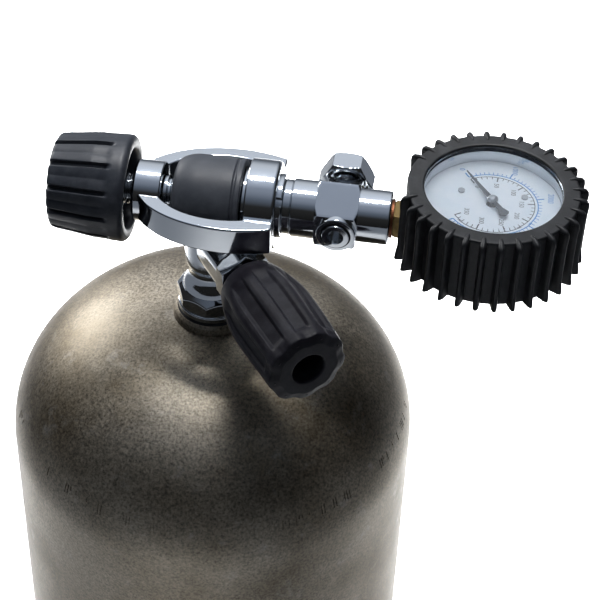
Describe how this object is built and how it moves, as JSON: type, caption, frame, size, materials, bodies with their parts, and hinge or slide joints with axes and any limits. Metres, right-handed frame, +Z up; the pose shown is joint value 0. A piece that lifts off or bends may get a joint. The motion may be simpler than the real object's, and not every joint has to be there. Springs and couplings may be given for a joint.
{
  "type": "scuba tank",
  "caption": "Aluminium scuba cylinder with a chrome K-valve, a rubber valve knob and a yoke-mounted pressure checker whose gauge sits in a ribbed rubber boot.",
  "frame": {"origin": "centre of the tank's flat base", "axes": "+Z up along the tank's axis, +X along the yoke from its clamping knob towards the gauge, -Y towards the side that the valve knob points to"},
  "size_m": [0.248, 0.1842, 0.7366],
  "materials": {
    "tank_aluminium": "bare satin aluminium, grey-brown with a fine mottled grain",
    "chrome_plate": "bright chrome plate on brass",
    "seal_rubber": "black moulded rubber",
    "sleeve_rubber": "matte dark grey moulded rubber",
    "knob_rubber": "black moulded rubber with a faint sheen",
    "knob_plastic": "black moulded plastic, satin",
    "boot_rubber": "black moulded rubber",
    "brass": "dull machined brass",
    "bronze": "drawn phosphor bronze",
    "copper": "soft copper",
    "steel": "stainless steel",
    "case_steel": "polished stainless steel",
    "white_nylon": "natural nylon",
    "dial_white": "white enamel on aluminium with printed scales",
    "needle_black": "black enamel",
    "needle_cap": "bright plated",
    "lens_clear": "clear polycarbonate"
  },
  "bodies": {
    "root": {"tank_shell": "tank_aluminium", "neck_oring": "seal_rubber", "valve_body": "chrome_plate", "dip_tube": "white_nylon", "outlet_oring": "seal_rubber", "outlet_sleeve": "sleeve_rubber", "bonnet_nut": "chrome_plate", "stem_washer": "white_nylon", "burst_plug": "chrome_plate", "burst_disc": "copper", "burst_gasket": "copper", "yoke_frame": "chrome_plate", "yoke_retainer": "chrome_plate", "retainer_ring": "chrome_plate", "gauge_block": "chrome_plate", "block_oring": "seal_rubber", "port_plug": "chrome_plate", "port_oring": "seal_rubber", "gauge_socket": "brass", "shank_seal": "copper", "bourdon_tube": "bronze", "tube_tip": "brass", "movement_base": "brass", "movement_top": "brass", "movement_screws": "steel", "hairspring": "steel", "gauge_case": "case_steel", "case_screws": "steel", "blowout_plug": "seal_rubber", "dial": "dial_white", "dial_screws": "steel", "lens": "lens_clear", "lens_gasket": "seal_rubber", "lens_ring": "case_steel", "gauge_boot": "boot_rubber"},
    "valve_turn": {"valve_knob": "knob_rubber", "knob_hub": "brass", "knob_spring": "steel", "knob_nut": "steel", "valve_stem": "steel", "stem_oring": "seal_rubber"},
    "valve_poppet": {"poppet": "brass", "poppet_seat": "white_nylon"},
    "clamp_tip": {"screw_tip": "chrome_plate"},
    "clamp_turn": {"yoke_screw": "chrome_plate", "yoke_knob": "knob_plastic", "knob_pin": "steel"},
    "bleed_tip": {"bleed_seat": "white_nylon"},
    "bleed_turn": {"bleed_screw": "chrome_plate", "bleed_oring": "seal_rubber"},
    "gauge_sector": {"sector_gear": "brass"},
    "gauge_needle": {"pinion": "steel", "needle": "needle_black", "needle_cap": "needle_cap"},
    "gauge_link": {"link": "brass"}
  },
  "joints": [
    {"name": "valve_knob_turn", "type": "hinge", "parent": "root", "child": "valve_turn", "pos_m": [0, 0, 0.694], "axis": [0.5736, -0.8192, 0], "range_deg": [0, 900]},
    {"name": "poppet_slide", "type": "slide", "parent": "valve_turn", "child": "valve_poppet", "axis": [0.5736, -0.8192, 0], "range_m": [0, 0.00375]},
    {"name": "clamp_tip_slide", "type": "slide", "parent": "root", "child": "clamp_tip", "axis": [-1, 0, 0], "range_m": [0, 0.00525]},
    {"name": "clamp_knob_turn", "type": "hinge", "parent": "clamp_tip", "child": "clamp_turn", "pos_m": [-0.04, 0, 0.7135], "axis": [-1, 0, 0], "range_deg": [0, 1080]},
    {"name": "bleed_tip_slide", "type": "slide", "parent": "root", "child": "bleed_tip", "axis": [0, 1, 0], "range_m": [0, 0.002]},
    {"name": "bleed_screw_turn", "type": "hinge", "parent": "bleed_tip", "child": "bleed_turn", "pos_m": [0.054, 0.02, 0.7135], "axis": [0, 1, 0], "range_deg": [0, 720]},
    {"name": "sector_turn", "type": "hinge", "parent": "root", "child": "gauge_sector", "pos_m": [0.1235, -0.01299, 0.7135], "axis": [0, 0, 1], "range_deg": [0, 54]},
    {"name": "needle_turn", "type": "hinge", "parent": "root", "child": "gauge_needle", "pos_m": [0.116, 0, 0.7135], "axis": [0, 0, -1], "range_deg": [0, 270]},
    {"name": "link_turn", "type": "hinge", "parent": "gauge_sector", "child": "gauge_link", "pos_m": [0.12374, -0.01748, 0.7135], "axis": [0, 0, -1], "range_deg": [0, 54]}
  ],
  "couplings": [
    {"joint": "poppet_slide", "follows": "valve_knob_turn", "m_per_rad": 0.00023873},
    {"joint": "clamp_knob_turn", "follows": "clamp_tip_slide", "rad_per_m": 3590.4},
    {"joint": "bleed_screw_turn", "follows": "bleed_tip_slide", "rad_per_m": 6283.2},
    {"joint": "needle_turn", "follows": "sector_turn", "ratio": 5},
    {"joint": "link_turn", "follows": "sector_turn", "ratio": 1}
  ]
}
